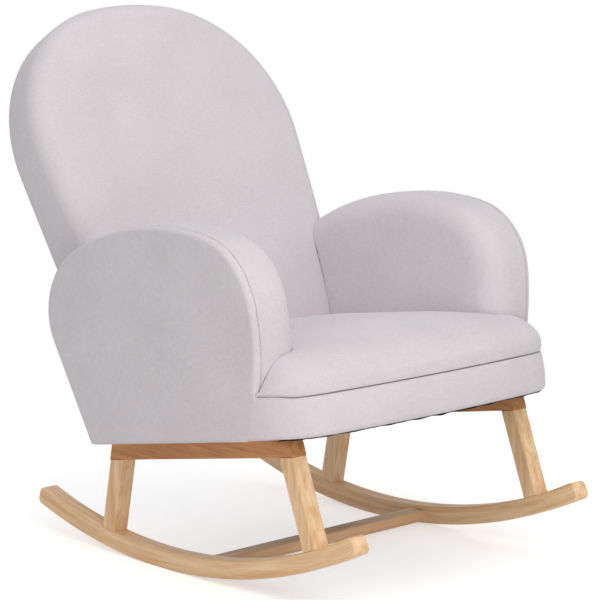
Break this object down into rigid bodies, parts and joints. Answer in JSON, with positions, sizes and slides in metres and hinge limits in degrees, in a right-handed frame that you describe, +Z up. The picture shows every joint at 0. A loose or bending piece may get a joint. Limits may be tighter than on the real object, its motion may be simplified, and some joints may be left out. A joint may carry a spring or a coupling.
{
  "type": "rocking chair",
  "caption": "Upholstered rocking chair with an arched back, rounded D-shaped arms, a crowned seat cushion and a light wooden rocker base.",
  "frame": {"origin": "on the floor, under the middle of the chair's overall length and width, chair at rest on level ground", "axes": "+X to the right of someone who looks at the chair's front, +Y towards the back, +Z up; the sitter faces -Y"},
  "size_m": [0.686, 0.9852, 0.9566],
  "materials": {
    "upholstery": "pale warm grey plain-weave linen look, matt",
    "light_wood": "natural beech, satin lacquer",
    "dowel_wood": "turned beech, unfinished",
    "frame_wood": "planed softwood, unfinished",
    "plywood": "birch plywood, unfinished",
    "steel": "zinc plated",
    "spring_steel": "oiled spring wire",
    "felt": "needled felt",
    "webbing": "elastic webbing",
    "black_cloth": "thin non-woven cloth, matt black"
  },
  "bodies": {
    "root": {"rocker_left": "light_wood", "rocker_right": "light_wood", "front_leg_left": "light_wood", "front_leg_right": "light_wood", "rear_leg_left": "light_wood", "rear_leg_right": "light_wood", "top_rail_left": "light_wood", "top_rail_right": "light_wood", "stretcher": "light_wood", "leg_dowels": "dowel_wood", "stretcher_dowels": "dowel_wood", "frame_bolts": "steel", "frame_washers": "steel", "frame_tee_nuts": "steel", "seat_front_rail": "frame_wood", "seat_rear_rail": "frame_wood", "seat_side_rail_left": "frame_wood", "seat_side_rail_right": "frame_wood", "seat_corner_blocks": "frame_wood", "seat_springs": "spring_steel", "spring_clips": "steel", "spring_cover": "felt", "seat_apron": "upholstery", "seat_cushion": "upholstery", "dust_cover": "black_cloth", "arm_stringer_left": "frame_wood", "arm_stringer_right": "frame_wood", "arm_panel_left": "plywood", "arm_panel_right": "plywood", "arm_bolts": "steel", "arm_padding_left": "upholstery", "arm_padding_right": "upholstery", "back_frame": "plywood", "back_slats": "frame_wood", "back_webbing": "webbing", "back_bolts": "steel", "back_padding": "upholstery"}
  },
  "joints": []
}
